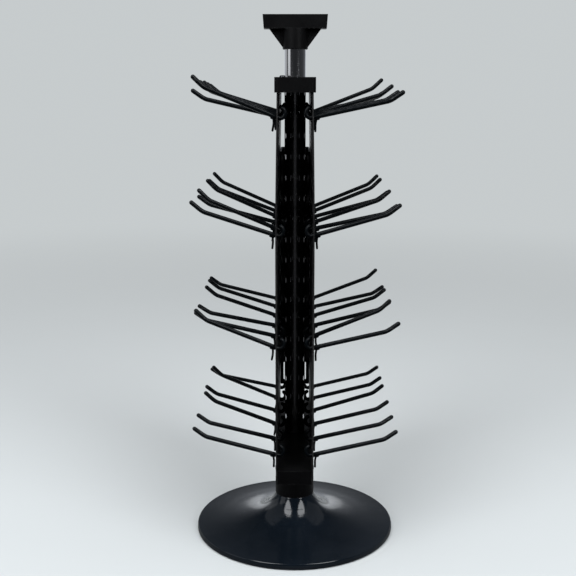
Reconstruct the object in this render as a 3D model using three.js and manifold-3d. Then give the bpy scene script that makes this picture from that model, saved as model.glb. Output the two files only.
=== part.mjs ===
// Two-sided countertop pegboard spinner for eyewear: a weighted trumpet base, a fixed chrome pole,
// two perforated panels that turn about the pole as one carousel, and a sign holder on top.
// Millimetres, +Z up. The origin is the centre of the base's underside, and the pole is the Z axis.
// The panels face -X and +X, and each tier of hooks runs along Y.
import * as THREE from 'three';
import { mergeVertices } from 'three/addons/utils/BufferGeometryUtils.js';
import Module from 'manifold-3d';

const wasm = await Module();
wasm.setup();

// ---- driving dimensions ----
const GAP = 0.3;                 // clearance between pieces that touch
const HOLE_PITCH = 25.4;         // pegboard grid

const BASE_RADIUS = 125.6;
const RIM_TOP = 8.2;             // height of the disc at its rim
const NECK_RADIUS = 24.5;
const NECK_TOP = 66;
const SHELL_WALL = 3;
const PAD = { radius: 118, thickness: 3 };

const POLE_RADIUS = 12.7;        // 1 inch chromed tube
const POLE_WALL = 1.2;
const POLE_TOP = 622;
const BORE_RADIUS = POLE_RADIUS + 0.5;   // bores that turn on the pole

const PANEL_THICKNESS = 1.5;
const PANEL_DEPTH = 270;         // along Y
const PANEL_BOTTOM = 112.5;      // also the underside of the rail between the panels
const PANEL_TOP = 566;
const PANEL_BEND = 420;          // above this height the panels lean in under the cap
const PANEL_FACE = 21.5;         // outer face from the axis, up to the bend
const PANEL_FACE_TOP = 19.4;     // outer face from the axis, at the top edge
const PEG_HOLE_RADIUS = 3.3;

const TIER_BOTTOM = 146;         // height of the lowest tier of hooks
const TIER_PITCH = 5 * HOLE_PITCH;
const HOOK_PITCH = 2 * HOLE_PITCH;
const HOOKS_IN_ROW = 6;

const WIRE_RADIUS = 2.5;
const TAIL_RADIUS = 1.2;
const TAIL_CLEARANCE = 0.65;     // so that an arm may hang 2 degrees below its seated angle
const ARM_LENGTH = 84;
const TIP_LENGTH = 18;
const TIP_KINK = 22;             // degrees the tip turns up from the arm
const SEATED_LIFT = 13;          // arm angle at which the tail lies along the panel

// How far each hook's arm points above level, in whole degrees, from the back of its row to the
// front. The hooks hang loosely in their holes, so no two sit quite alike. Lowest tier first.
const HOOK_LIFTS = [
  { left: [12, 23, 16, 21, 14, 15], right: [14, 14, 17, 14, 13, 13] },
  { left: [14, 18, 19, 11, 13, 22], right: [21, 13, 17, 14, 22, 13] },
  { left: [24, 21, 24, 15, 23, 18], right: [22, 22, 15, 19, 12, 16] },
  { left: [17, 18, 19, 19, 13, 22], right: [11, 21, 14, 16, 12, 12] },
];

const CAP = { halfWidth: 22, length: 277, bottom: 553, top: 569, skirt: 2.1, lid: 2.5, chamfer: 3 };
const CHANNEL = { halfWidth: 18.6, lip: 4.2, bottom: 181, top: 481, sheet: 1.2, flange: 102, back: 133.7 };
const RAIL = { length: 269, top: 128.5, lid: 2.5, wall: 2.2 };
const HUB_RADIUS = 23.4;
const WASHER_THICKNESS = 1.6;
const SIGN = { top: 642, width: 76, footWidth: 73.6, depth: 22, slot: 3, slotDepth: 12 };
const SOCKET = { radius: 14.9, top: 626, bottom: 602.4, gussetWidth: 63, gussetBottom: 605 };

// ---- materials ----
const finish = (color, roughness, metalness) =>
  new THREE.MeshStandardMaterial({ color, roughness, metalness });
const mouldedBase = finish(0x14161b, 0.3, 0);
const mouldedBlack = finish(0x17181b, 0.45, 0);
const paintedSheet = finish(0x0e0e10, 0.5, 0);
const coatedWire = finish(0x0d0e10, 0.4, 0);
const chromedSteel = finish(0xc9cbd0, 0.12, 1);
const castIron = finish(0x3a3a3c, 0.7, 0.8);
const nylon = finish(0xd8d4c8, 0.5, 0);
const feltPad = finish(0x1a1a1a, 0.95, 0);

// ---- solid helpers ----
const radians = THREE.MathUtils.degToRad;

function toSolid(geometry) {
  const bare = geometry.clone();
  bare.deleteAttribute('normal');
  bare.deleteAttribute('uv');
  const merged = mergeVertices(bare, 1e-4);
  return new wasm.Manifold(new wasm.Mesh({
    numProp: 3,
    vertProperties: new Float32Array(merged.attributes.position.array),
    triVerts: new Uint32Array(merged.index.array),
  }));
}

function toGeometry(solid) {
  const mesh = solid.getMesh();
  const geometry = new THREE.BufferGeometry();
  geometry.setAttribute('position', new THREE.BufferAttribute(mesh.vertProperties, 3));
  geometry.setIndex(new THREE.BufferAttribute(mesh.triVerts, 1));
  geometry.computeVertexNormals();
  return geometry;
}

const cut = (body, tools) => toGeometry(
  tools.reduce((solid, tool) => solid.subtract(toSolid(tool)), toSolid(body)));
const join = (...pieces) => toGeometry(
  pieces.map(toSolid).reduce((whole, piece) => whole.add(piece)));

function block([x0, y0, z0], [x1, y1, z1]) {
  const geometry = new THREE.BoxGeometry(x1 - x0, y1 - y0, z1 - z0);
  return geometry.translate((x0 + x1) / 2, (y0 + y1) / 2, (z0 + z1) / 2);
}

// A profile of [radius, height] pairs turned about the Z axis.
function turned(profile, sides) {
  const points = profile.map(([r, z]) => new THREE.Vector2(r, z));
  return new THREE.LatheGeometry(points, sides).rotateX(Math.PI / 2);
}

const ring = (inner, outer, bottom, top, sides) => turned(
  [[inner, bottom], [outer, bottom], [outer, top], [inner, top], [inner, bottom]], sides);

// An outline in X and Z, given thickness along Y from y0 to y1.
function slab(outline, y0, y1) {
  const shape = new THREE.Shape(outline.map(([x, z]) => new THREE.Vector2(x, z)));
  const geometry = new THREE.ExtrudeGeometry(shape, { depth: y1 - y0, bevelEnabled: false });
  return geometry.rotateX(Math.PI / 2).translate(0, y1, 0);
}

// The centre line of a bent wire in the XZ plane: straight between its bends, with one
// extrusion step for each straight stretch and the bisecting direction at each bend.
class BentWire extends THREE.Curve {
  constructor(points) {
    super();
    this.points = points.map(([x, z]) => new THREE.Vector3(x, 0, z));
    this.steps = points.length - 1;
  }

  getUtoTmapping(u) {
    return u;
  }

  getPoint(t) {
    const place = t * this.steps;
    const i = Math.min(Math.floor(place), this.steps - 1);
    return this.points[i].clone().lerp(this.points[i + 1], place - i);
  }

  getTangent(t) {
    const i = Math.round(t * this.steps);
    const direction = (a, b) => this.points[b].clone().sub(this.points[a]).normalize();
    const before = direction(Math.max(i - 1, 0), Math.max(i, 1));
    const after = direction(Math.min(i, this.steps - 1), Math.min(i + 1, this.steps));
    return before.add(after).normalize();
  }
}

function wire(points, radius, sides) {
  const section = new THREE.Shape(new THREE.EllipseCurve(0, 0, radius, radius).getPoints(sides).slice(1));
  const path = new BentWire(points);
  return new THREE.ExtrudeGeometry(section, { steps: path.steps, extrudePath: path });
}

const part = new THREE.Group();

function piece(name, geometry, material, parent = part) {
  const mesh = new THREE.Mesh(geometry, material);
  mesh.name = name;
  parent.add(mesh);
  return mesh;
}

// ---- base ----
const FLARE = [[BASE_RADIUS - 2.5, RIM_TOP], [100, 9.6], [80, 12], [61, 15.9], [46.3, 21.1], [35.8, 28.4],
  [28.6, 37.4], [NECK_RADIUS, 46], [NECK_RADIUS, NECK_TOP]];
const SHELL_BOTTOM = 1;

// The hollow shell: flat disc, concave flare and straight neck, closed on top around the pole.
function baseShell() {
  const poleHole = POLE_RADIUS + GAP;
  const inside = FLARE.slice(1, -1).map(([r, z]) => [r - SHELL_WALL * 0.5, z - SHELL_WALL]).reverse();
  const profile = [
    [BASE_RADIUS - 5, SHELL_BOTTOM],
    [BASE_RADIUS - 1, SHELL_BOTTOM],
    [BASE_RADIUS, SHELL_BOTTOM + 1],
    [BASE_RADIUS, RIM_TOP - 2],
    ...FLARE,
    [poleHole, NECK_TOP],
    [poleHole, NECK_TOP - 2 * SHELL_WALL],
    [NECK_RADIUS - SHELL_WALL, NECK_TOP - 2 * SHELL_WALL],
    ...inside,
    [BASE_RADIUS - 5, RIM_TOP - SHELL_WALL],
    [BASE_RADIUS - 5, SHELL_BOTTOM],
  ];
  return turned(profile, 48);
}

// A cast plate low in the base, with a spigot that the pole slides over.
function baseWeight() {
  const bottom = PAD.thickness + GAP;
  const spigot = POLE_RADIUS - POLE_WALL - GAP;
  return turned([[0, bottom], [84, bottom], [84, 7.6], [48, 8.6], [36, 14], [spigot, 14],
    [spigot, 56], [0, 56]], 32);
}

piece('base_shell', baseShell(), mouldedBase);
piece('base_weight', baseWeight(), castIron);
piece('base_pad', turned([[0, 0], [PAD.radius, 0], [PAD.radius, PAD.thickness], [0, PAD.thickness]], 48),
  feltPad);
piece('pole', ring(POLE_RADIUS - POLE_WALL, POLE_RADIUS, 14 + GAP, POLE_TOP, 32), chromedSteel);

const washerBottom = NECK_TOP + 0.1;
piece('thrust_washer', ring(BORE_RADIUS, NECK_RADIUS - 3, washerBottom,
  washerBottom + WASHER_THICKNESS, 32), nylon);

// ---- carousel ----
// One moulding: a rail that stands between the panels' lower edges, open underneath, and a hub
// below its middle that turns on the washer.
function bottomCarrier() {
  const hubBottom = washerBottom + WASHER_THICKNESS + 0.1;
  const halfWidth = PANEL_FACE - PANEL_THICKNESS - GAP;
  const halfLength = RAIL.length / 2;
  const rail = block([-halfWidth, -halfLength, PANEL_BOTTOM], [halfWidth, halfLength, RAIL.top]);
  const hollow = block([RAIL.wall - halfWidth, RAIL.wall - halfLength, PANEL_BOTTOM - 1],
    [halfWidth - RAIL.wall, halfLength - RAIL.wall, RAIL.top - RAIL.lid]);
  const drum = turned([[0, hubBottom], [HUB_RADIUS, hubBottom], [HUB_RADIUS, PANEL_BOTTOM - GAP],
    [halfWidth - 1, PANEL_BOTTOM - GAP], [halfWidth - 1, RAIL.top - 1], [0, RAIL.top - 1]], 32);
  const bore = ring(0, BORE_RADIUS, hubBottom - 1, RAIL.top + 1, 32);
  return cut(join(cut(rail, [hollow]), drum), [bore]);
}

piece('bottom_carrier', bottomCarrier(), mouldedBlack);

const tierHeights = HOOK_LIFTS.map((_, tier) => TIER_BOTTOM + tier * TIER_PITCH);
const hookPlaces = Array.from({ length: HOOKS_IN_ROW },
  (_, i) => ((HOOKS_IN_ROW - 1) / 2 - i) * HOOK_PITCH);

// Distance of a panel's outer face from the axis at a height.
function faceAt(z) {
  const lean = Math.max(0, (z - PANEL_BEND) / (PANEL_TOP - PANEL_BEND));
  return PANEL_FACE + lean * (PANEL_FACE_TOP - PANEL_FACE);
}

// A thin sheet on the +X side, drilled where its 24 hooks go through.
function panel() {
  const heights = [PANEL_BOTTOM, PANEL_BEND, PANEL_TOP];
  const outer = heights.map((z) => [faceAt(z), z]);
  const inner = heights.map((z) => [faceAt(z) - PANEL_THICKNESS, z]).reverse();
  const sheet = slab([...outer, ...inner], -PANEL_DEPTH / 2, PANEL_DEPTH / 2);
  const drills = tierHeights.flatMap((z) => hookPlaces.map((y) => {
    const flats = PEG_HOLE_RADIUS / Math.cos(Math.PI / 8);
    return new THREE.CylinderGeometry(flats, flats, 10, 8).rotateZ(Math.PI / 2)
      .translate(faceAt(z), y, z);
  }));
  return cut(sheet, drills);
}

const sides = { left: Math.PI, right: 0 };    // turn about Z that puts a +X piece on each side
for (const [side, turn] of Object.entries(sides)) {
  piece(`panel_${side}`, panel(), paintedSheet).rotation.z = turn;
}

// A lipped sheet-metal channel that ties the two panels together at the back edge. Its flanges
// are slotted where the prongs of the hooks stand behind the panels.
function rearChannel() {
  const { halfWidth, lip, bottom, top, sheet, flange, back } = CHANNEL;
  const front = back - flange;
  const web = block([-halfWidth, back - sheet, bottom], [halfWidth, back, top]);
  const flanges = [-halfWidth, halfWidth - sheet].map((x) =>
    block([x, front, bottom], [x + sheet, back, top]));
  const lips = [-halfWidth, halfWidth - lip].map((x) =>
    block([x, front, bottom], [x + lip, front + sheet, top]));
  const slots = tierHeights.filter((z) => z > bottom && z < top).flatMap((z) =>
    hookPlaces.filter((y) => y > front).map((y) =>
      block([-halfWidth - 5, y - 4.5, z - 8], [halfWidth + 5, y + 4.5, z + 16])));
  return cut(join(web, ...flanges, ...lips), slots);
}

piece('rear_channel', rearChannel(), paintedSheet);

// An inverted tray with chamfered corners that holds the top edges of both panels.
function topCap() {
  const { halfWidth: w, length, bottom, top, skirt, lid, chamfer } = CAP;
  const half = length / 2;
  const tray = (x, y, corner, z0, z1) => {
    const outline = [[x, -y + corner], [x, y - corner], [x - corner, y], [corner - x, y],
      [-x, y - corner], [-x, corner - y], [corner - x, -y], [x - corner, -y]];
    const shape = new THREE.Shape(outline.map(([a, b]) => new THREE.Vector2(a, b)));
    const geometry = new THREE.ExtrudeGeometry(shape, { depth: z1 - z0, bevelEnabled: false });
    return geometry.translate(0, 0, z0);
  };
  const outside = tray(w, half, chamfer, bottom, top);
  const inside = tray(w - skirt, half - skirt, 1, bottom - 1, top - lid);
  const poleHole = new THREE.CylinderGeometry(15.2, 15.2, 20, 32).rotateX(Math.PI / 2).translate(0, 0, top);
  return cut(outside, [inside, poleHole]);
}

piece('top_cap', topCap(), mouldedBlack);

// A flanged nylon sleeve in the cap that runs on the pole.
const lidUnderside = CAP.top - CAP.lid - GAP;
piece('top_bushing', turned([[BORE_RADIUS, lidUnderside - 8], [14.8, lidUnderside - 8],
  [14.8, lidUnderside - 2], [17.4, lidUnderside - 2], [17.4, lidUnderside], [14.8, lidUnderside],
  [14.8, CAP.top + 0.8], [BORE_RADIUS, CAP.top + 0.8], [BORE_RADIUS, lidUnderside - 8]], 32), nylon);

// ---- hooks ----
// One hook on the +X side, about the middle of its hole: a curled prong behind the panel, the
// arm with its upturned tip in front, and a thin tail that hangs down the panel's face.
function hook() {
  const along = (distance, degrees) =>
    [distance * Math.cos(radians(degrees)), distance * Math.sin(radians(degrees))];
  const [bendX, bendZ] = along(ARM_LENGTH, SEATED_LIFT);
  const [kinkX, kinkZ] = along(3, SEATED_LIFT);
  const [tipX, tipZ] = along(TIP_LENGTH, SEATED_LIFT + TIP_KINK);
  const backX = -2.2 * Math.cos(radians(SEATED_LIFT));
  const backZ = -2.2 * Math.sin(radians(SEATED_LIFT));
  const body = wire([
    [-3.8, 10.8], [-6.5, 8.8], [-7.9, 5.2], [-6.6, 1.4], [backX - 1.6, backZ - 0.1], [backX, backZ],
    [bendX - kinkX, bendZ - kinkZ], [bendX, bendZ], [bendX + tipX, bendZ + tipZ],
  ], WIRE_RADIUS, 6);
  const tailX = PANEL_THICKNESS / 2 + TAIL_RADIUS + TAIL_CLEARANCE;
  const tail = wire([[tailX + 0.6, 1], [tailX, -4], [tailX, -15.5]], TAIL_RADIUS, 5);
  return join(body, tail);
}

HOOK_LIFTS.forEach((lifts, tier) => {
  const z = tierHeights[tier];
  for (const [side, turn] of Object.entries(sides)) {
    const row = new THREE.Group();
    row.rotation.z = turn;
    part.add(row);
    lifts[side].forEach((lift, i) => {
      const mesh = piece(`hook_tier${tier + 1}_${side}_${i + 1}`, hook(), coatedWire, row);
      const place = side === 'right' ? hookPlaces[i] : -hookPlaces[i];
      mesh.position.set(faceAt(z) - PANEL_THICKNESS / 2, place, z);
      mesh.rotation.y = -radians(lift - SEATED_LIFT);
    });
  }
});

// ---- sign holder ----
// A slotted block for a card, a little narrower at its foot, on a gusseted socket that fits over
// the pole's end.
function signHolder() {
  const { top, width, footWidth, depth, slot, slotDepth } = SIGN;
  const overlap = 1;
  const head = slab([[-footWidth / 2, SOCKET.top], [footWidth / 2, SOCKET.top], [width / 2, top],
    [-width / 2, top]], -depth / 2, depth / 2);
  const gusset = slab([[-SOCKET.gussetWidth / 2, SOCKET.top + overlap],
    [-SOCKET.radius, SOCKET.gussetBottom], [SOCKET.radius, SOCKET.gussetBottom],
    [SOCKET.gussetWidth / 2, SOCKET.top + overlap]], -3, 3);
  const socket = ring(0, SOCKET.radius, SOCKET.bottom, SOCKET.top + overlap, 32);
  const bore = ring(0, BORE_RADIUS, SOCKET.bottom - 1, POLE_TOP + 0.5, 32);
  const cardSlot = block([-width, -slot / 2, top - slotDepth], [width, slot / 2, top + 1]);
  return cut(join(head, gusset, socket), [bore, cardSlot]);
}

piece('sign_holder', signHolder(), mouldedBlack);

export default part;
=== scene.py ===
"""Two-sided countertop pegboard spinner for eyewear: the looks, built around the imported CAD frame.

Metres, +Z up, in the CAD frame: the pole is the Z axis, and the panels face -X and +X.
"""
import math

import bmesh
import bpy
from mathutils import Matrix, Vector

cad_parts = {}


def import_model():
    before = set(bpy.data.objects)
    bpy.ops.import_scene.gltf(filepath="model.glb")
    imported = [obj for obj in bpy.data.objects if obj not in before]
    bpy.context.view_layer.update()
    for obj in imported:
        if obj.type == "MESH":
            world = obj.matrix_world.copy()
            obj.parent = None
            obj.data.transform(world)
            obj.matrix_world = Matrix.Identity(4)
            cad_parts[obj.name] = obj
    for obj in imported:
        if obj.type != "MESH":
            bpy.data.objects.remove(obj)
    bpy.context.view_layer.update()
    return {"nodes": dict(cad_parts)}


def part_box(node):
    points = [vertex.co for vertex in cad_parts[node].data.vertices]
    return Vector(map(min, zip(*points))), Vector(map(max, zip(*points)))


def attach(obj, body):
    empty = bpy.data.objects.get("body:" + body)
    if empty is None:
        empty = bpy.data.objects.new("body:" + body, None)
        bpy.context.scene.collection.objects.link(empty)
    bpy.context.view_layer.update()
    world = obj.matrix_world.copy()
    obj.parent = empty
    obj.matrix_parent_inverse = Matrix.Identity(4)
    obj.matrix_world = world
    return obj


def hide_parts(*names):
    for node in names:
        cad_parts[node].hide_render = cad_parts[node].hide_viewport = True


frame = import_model()
MM = 0.001


def low(node, axis):
    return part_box(node)[0]["xyz".index(axis)]


def high(node, axis):
    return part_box(node)[1]["xyz".index(axis)]


# ---- sizes from the frame ----
BASE_RADIUS = high("base_shell", "x")
SHELL_BOTTOM = low("base_shell", "z")
NECK_TOP = high("base_shell", "z")
PAD_RADIUS = high("base_pad", "x")
PAD_TOP = high("base_pad", "z")
POLE_RADIUS = high("pole", "x")
POLE_BOTTOM = low("pole", "z")
POLE_TOP = high("pole", "z")
HUB_RADIUS = high("bottom_carrier", "x")
HUB_BOTTOM = low("bottom_carrier", "z")
RAIL_TOP = high("bottom_carrier", "z")
RAIL_HALF_LENGTH = high("bottom_carrier", "y")
PANEL_BOTTOM = low("panel_right", "z")
PANEL_TOP = high("panel_right", "z")
PANEL_FACE = high("panel_right", "x")
PANEL_HALF_DEPTH = high("panel_right", "y")
CAP_BOTTOM = low("top_cap", "z")
CAP_TOP = high("top_cap", "z")
CAP_HALF_WIDTH = high("top_cap", "x")
CAP_HALF_LENGTH = high("top_cap", "y")
SIGN_TOP = high("sign_holder", "z")
SIGN_BOTTOM = low("sign_holder", "z")
SIGN_HALF_WIDTH = high("sign_holder", "x")
SOCKET_RADIUS = high("sign_holder", "y")

# ---- sizes shared with the CAD part ----
PITCH = 25.4 * MM                  # pegboard grid
PANEL_THICKNESS = 1.5 * MM
PANEL_BEND = 420 * MM              # the panels lean in above this height
PANEL_LEAN = 2.1 * MM              # how far, at the top edge
HOLE_RADIUS = 3.3 * MM
LOWEST_HOLE = 120.6 * MM
HOLE_ROWS = 18
HOLE_COLUMNS = 11
TIER_PITCH = 5 * PITCH
TIER_BOTTOM = LOWEST_HOLE + PITCH
WIRE_RADIUS = 2.5 * MM
TAIL_RADIUS = 1.2 * MM
ARM_LENGTH = 84 * MM
TIP_LENGTH = 18 * MM
TIP_KINK = math.radians(22)
SEATED_LIFT = math.radians(13)
CAP_LID = 2.5 * MM                 # thickness of the cap's top
BORE_RADIUS = POLE_RADIUS + 0.5 * MM
GAP = 0.3 * MM                     # between pieces that fit together


def face_at(z):
    """Distance of a panel's outer face from the axis at a height."""
    lean = max(0.0, (z - PANEL_BEND) / (PANEL_TOP - PANEL_BEND))
    return PANEL_FACE - lean * PANEL_LEAN


# ---- camera ----
SENSOR_MM = 36
LENS_MM = 59.7
CAMERA_PLACE = (0, -1.161, 0.556)
CAMERA_DIP = 11.73                 # degrees below level
CAMERA_TURN = 0.42                 # degrees to the left


def add_camera():
    data = bpy.data.cameras.new("camera")
    data.sensor_width = SENSOR_MM
    data.lens = LENS_MM
    data.clip_end = 200
    camera = bpy.data.objects.new("camera", data)
    camera.location = CAMERA_PLACE
    camera.rotation_euler = (math.radians(90 - CAMERA_DIP), 0, math.radians(CAMERA_TURN))
    bpy.context.scene.collection.objects.link(camera)
    bpy.context.scene.camera = camera


add_camera()


# ---- materials ----
class Nodes:
    """Adds nodes to a node tree and links them."""

    def __init__(self, tree):
        self.tree = tree

    def add(self, kind, **settings):
        node = self.tree.nodes.new(kind)
        for name, value in settings.items():
            setattr(node, name, value)
        return node

    def link(self, source, target):
        """Links an output to a socket, or sets the socket to a plain value."""
        if isinstance(source, (int, float, tuple)):
            target.default_value = source
        else:
            self.tree.links.new(source, target)

    def mix(self, factor, a, b, blend_type="MIX"):
        node = self.add("ShaderNodeMix", data_type="RGBA", blend_type=blend_type)
        self.link(factor, node.inputs["Factor"])
        for socket, value in (("A", a), ("B", b)):
            target = next(i for i in node.inputs if i.name == socket and i.type == "RGBA")
            self.link((*value, 1.0) if isinstance(value, tuple) else value, target)
        return next(o for o in node.outputs if o.type == "RGBA")


class Surface(Nodes):
    """Builds one procedural material around a Principled shader."""

    def __init__(self, name, **sockets):
        self.material = bpy.data.materials.new(name)
        self.material.use_nodes = True
        super().__init__(self.material.node_tree)
        self.shader = self.tree.nodes["Principled BSDF"]
        for socket, value in sockets.items():
            self.shader.inputs[socket.replace("_", " ")].default_value = value
        self.place = self.add("ShaderNodeTexCoord").outputs["Object"]

    def stretched(self, scale):
        node = self.add("ShaderNodeMapping")
        self.link(self.place, node.inputs["Vector"])
        node.inputs["Scale"].default_value = scale
        return node.outputs["Vector"]

    def noise(self, scale, detail=4, rough=0.55, stretch=None):
        node = self.add("ShaderNodeTexNoise")
        self.link(self.stretched(stretch) if stretch else self.place, node.inputs["Vector"])
        node.inputs["Scale"].default_value = scale
        node.inputs["Detail"].default_value = detail
        node.inputs["Roughness"].default_value = rough
        return node.outputs["Fac"]

    def speckle(self, scale):
        node = self.add("ShaderNodeTexVoronoi")
        self.link(self.place, node.inputs["Vector"])
        node.inputs["Scale"].default_value = scale
        return node.outputs["Distance"]

    def ramp(self, value, start, end, low_value=0.0, high_value=1.0):
        """A smooth step from low_value, where the value is start, to high_value, where it is end."""
        node = self.add("ShaderNodeMapRange", interpolation_type="SMOOTHSTEP")
        self.link(value, node.inputs["Value"])
        node.inputs["From Min"].default_value = start
        node.inputs["From Max"].default_value = end
        node.inputs["To Min"].default_value = low_value
        node.inputs["To Max"].default_value = high_value
        return node.outputs["Result"]

    def math(self, operation, a, b):
        node = self.add("ShaderNodeMath", operation=operation)
        self.link(a, node.inputs[0])
        self.link(b, node.inputs[1])
        return node.outputs[0]

    def times(self, a, b):
        return self.math("MULTIPLY", a, b)

    def plus(self, a, b):
        return self.math("ADD", a, b)

    def facing_up(self):
        """1 on level faces, where dust settles, and 0 on steep ones."""
        split = self.add("ShaderNodeSeparateXYZ")
        self.link(self.add("ShaderNodeNewGeometry").outputs["Normal"], split.inputs[0])
        return self.ramp(split.outputs["Z"], 0.5, 0.95)

    def edges(self, radius):
        """1 on sharp edges, 0 on flat faces: how far a rounded normal leaves the true one."""
        rounded = self.add("ShaderNodeBevel", samples=4)
        rounded.inputs["Radius"].default_value = radius
        plain = self.add("ShaderNodeNewGeometry").outputs["Normal"]
        dot = self.add("ShaderNodeVectorMath", operation="DOT_PRODUCT")
        self.link(rounded.outputs["Normal"], dot.inputs[0])
        self.link(plain, dot.inputs[1])
        return self.ramp(self.math("SUBTRACT", 1.0, dot.outputs["Value"]), 0.02, 0.16)

    def bump(self, *layers):
        """Stacks bumps. Each layer is a height from 0 to 1 and the metres that 1 stands for."""
        normal = None
        for height, distance in layers:
            node = self.add("ShaderNodeBump")
            node.inputs["Strength"].default_value = 1.0
            node.inputs["Distance"].default_value = distance
            self.link(height, node.inputs["Height"])
            if normal is not None:
                self.link(normal, node.inputs["Normal"])
            normal = node.outputs["Normal"]
        self.link(normal, self.shader.inputs["Normal"])

    def finish(self, colour, roughness=None, metallic=None):
        for socket, source in (("Base Color", colour), ("Roughness", roughness), ("Metallic", metallic)):
            if source is not None:
                self.link(source, self.shader.inputs[socket])
        return self.material


def base_plastic():
    """Glossy blue-black moulding with orange peel, wiping marks and a little dust."""
    n = Surface("base_plastic", Specular_IOR_Level=0.42)
    cloud = n.noise(14, 5)
    tone = n.mix(n.ramp(cloud, 0.35, 0.7), (0.0035, 0.0060, 0.0095), (0.0060, 0.0090, 0.0135))
    specks = n.ramp(n.noise(900, 2), 0.66, 0.8)
    settle = n.times(n.facing_up(), n.ramp(n.noise(60, 6, 0.7), 0.35, 0.8, 0.05, 1.0))
    dust = n.times(specks, n.times(settle, 0.22))
    scuff = n.times(n.edges(0.0015), n.ramp(n.noise(220, 6, 0.7), 0.5, 0.72))
    colour = n.mix(dust, tone, (0.30, 0.30, 0.29))
    colour = n.mix(n.times(scuff, 0.35), colour, (0.09, 0.10, 0.11))
    wiped = n.noise(30, 3, 0.5, stretch=(1.0, 6.0, 1.0))
    scratches = n.ramp(n.noise(240, 2, 0.5, stretch=(1.0, 0.06, 1.0)), 0.6, 0.72, 0.0, 0.07)
    rough = n.plus(n.ramp(wiped, 0.3, 0.75, 0.09, 0.16), scratches)
    rough = n.plus(rough, n.times(dust, 1.5))
    n.bump((n.noise(420, 2), 0.00002), (n.noise(60, 2), 0.00006))
    return n.finish(colour, rough)


def black_plastic():
    """Satin black moulding with a fine spark-eroded grain and rubbed edges."""
    n = Surface("black_plastic", Specular_IOR_Level=0.10)
    cloud = n.noise(35, 5)
    tone = n.mix(cloud, (0.0014, 0.0014, 0.0016), (0.0030, 0.0030, 0.0033))
    rub = n.times(n.edges(0.0011), n.ramp(n.noise(300, 6, 0.7), 0.42, 0.68))
    settle = n.times(n.facing_up(), n.ramp(n.noise(700, 3, 0.7), 0.55, 0.8))
    colour = n.mix(n.times(rub, 0.5), tone, (0.075, 0.075, 0.078))
    colour = n.mix(n.times(settle, 0.12), colour, (0.3, 0.29, 0.27))
    rough = n.plus(n.ramp(cloud, 0.3, 0.7, 0.40, 0.50), n.times(rub, -0.1))
    n.bump((n.noise(2600, 3, 0.6), 0.00003), (n.noise(160, 3), 0.00006))
    return n.finish(colour, rough)


def panel_paint():
    """Black powder coat on sheet steel: fine pebbling, a film of handling marks, and chips down to
    grey steel at the holes."""
    n = Surface("panel_paint", IOR=1.5, Specular_IOR_Level=0.3)
    used = n.add("ShaderNodeAttribute", attribute_name="hole_edge").outputs["Fac"]
    chip = n.times(n.ramp(used, 0.35, 1.0), n.ramp(n.noise(420, 5, 0.65), 0.48, 0.6))
    edge = n.times(n.edges(0.0007), n.ramp(n.noise(180, 5, 0.7), 0.52, 0.66))
    bare = n.math("MAXIMUM", n.times(chip, 0.8), n.times(edge, 0.45))
    tone = n.mix(n.noise(25, 5), (0.0036, 0.0036, 0.0040), (0.0072, 0.0072, 0.0077))
    smear = n.ramp(n.noise(11, 6, 0.68, stretch=(1.0, 1.0, 0.55)), 0.46, 0.66)
    swipe = n.ramp(n.noise(150, 3, 0.6, stretch=(1.0, 0.25, 1.4)), 0.60, 0.72)
    film = n.times(smear, n.plus(0.35, n.times(swipe, 0.65)))
    tone = n.mix(n.times(film, 0.26), tone, (0.17, 0.165, 0.155))
    colour = n.mix(bare, tone, (0.22, 0.22, 0.225))
    drag = n.ramp(n.noise(500, 2, 0.5, stretch=(1.0, 1.0, 0.05)), 0.62, 0.75, 0.0, 0.12)
    rough = n.math("SUBTRACT", n.ramp(n.noise(90, 4), 0.3, 0.7, 0.42, 0.54), drag)
    rough = n.plus(rough, n.times(film, 0.12))
    n.bump((n.noise(1500, 2, 0.5), 0.00006), (n.speckle(700), 0.00003), (n.noise(45, 3), 0.00010))
    return n.finish(colour, rough, n.times(bare, 0.9))


def hook_coating():
    """Semi-gloss black coating on wire, polished and scratched through where frames slide."""
    n = Surface("hook_coating", Specular_IOR_Level=0.14)
    wear = n.add("ShaderNodeAttribute", attribute_name="rubbed").outputs["Fac"]
    streak = n.noise(900, 4, 0.6, stretch=(0.10, 1.0, 0.5))
    bare = n.times(n.ramp(wear, 0.2, 1.0), n.ramp(streak, 0.53, 0.66))
    tone = n.mix(n.noise(60, 4), (0.0013, 0.0021, 0.0028), (0.0030, 0.0041, 0.0050))
    colour = n.mix(n.times(bare, 0.3), tone, (0.11, 0.115, 0.12))
    rough = n.ramp(n.noise(150, 4), 0.3, 0.7, 0.26, 0.40)
    n.bump((n.noise(1100, 2, 0.5), 0.00002), (n.noise(250, 2), 0.00005))
    return n.finish(colour, rough, n.times(bare, 0.3))


def chrome():
    """Chromed tube with drawing lines, fingermarks and tiny pits."""
    n = Surface("chrome", Metallic=1.0)
    smudge = n.ramp(n.noise(28, 5, 0.6), 0.42, 0.7)
    pits = n.ramp(n.noise(1400, 2), 0.70, 0.78)
    tone = n.mix(smudge, (0.63, 0.63, 0.64), (0.52, 0.52, 0.53))
    colour = n.mix(n.times(pits, 0.6), tone, (0.16, 0.13, 0.11))
    lines = n.noise(1800, 2, 0.5, stretch=(1.0, 1.0, 0.01))
    rough = n.plus(n.ramp(lines, 0.3, 0.7, 0.05, 0.09), n.times(smudge, 0.08))
    n.bump((lines, 0.000004), (n.math("SUBTRACT", 1.0, pits), 0.00001))
    return n.finish(colour, rough)


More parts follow.
